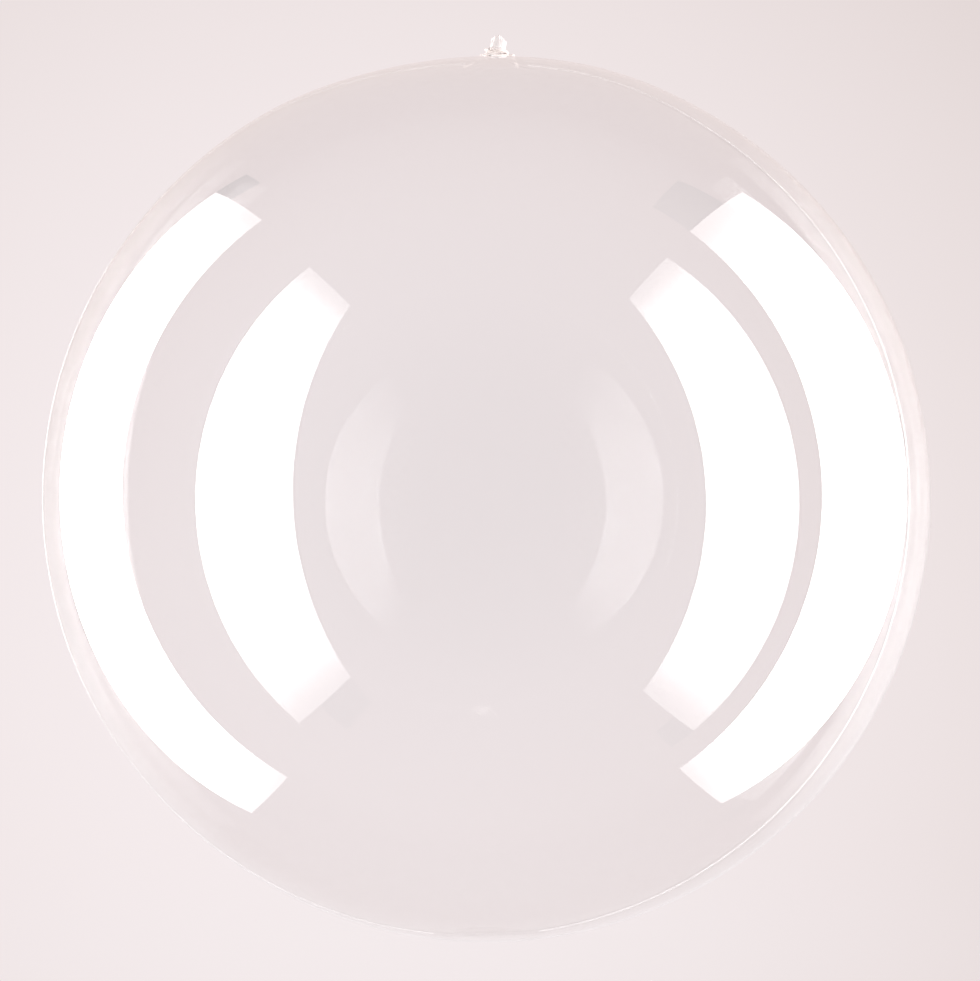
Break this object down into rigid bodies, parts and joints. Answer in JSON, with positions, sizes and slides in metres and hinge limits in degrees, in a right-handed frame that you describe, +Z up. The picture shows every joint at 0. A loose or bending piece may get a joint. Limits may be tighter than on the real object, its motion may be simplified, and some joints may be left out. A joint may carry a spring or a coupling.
{
  "type": "clear bubble balloon",
  "caption": "Round balloon of thin clear stretch film, its gathered neck tied off with white string; it stands neck up on a small flat spot.",
  "frame": {"origin": "middle of the flat spot that the balloon stands on, under the middle of its round body", "axes": "+Z up through the round body towards the tied neck, -Y towards the viewer, where the string's knot faces, +X to the right"},
  "size_m": [0.46, 0.46, 0.4728],
  "materials": {
    "clear_film": "clear, glossy, thin stretch film",
    "white_string": "soft twisted cotton string, matt"
  },
  "bodies": {
    "root": {"bubble": "clear_film", "tie_string": "white_string"}
  },
  "joints": []
}
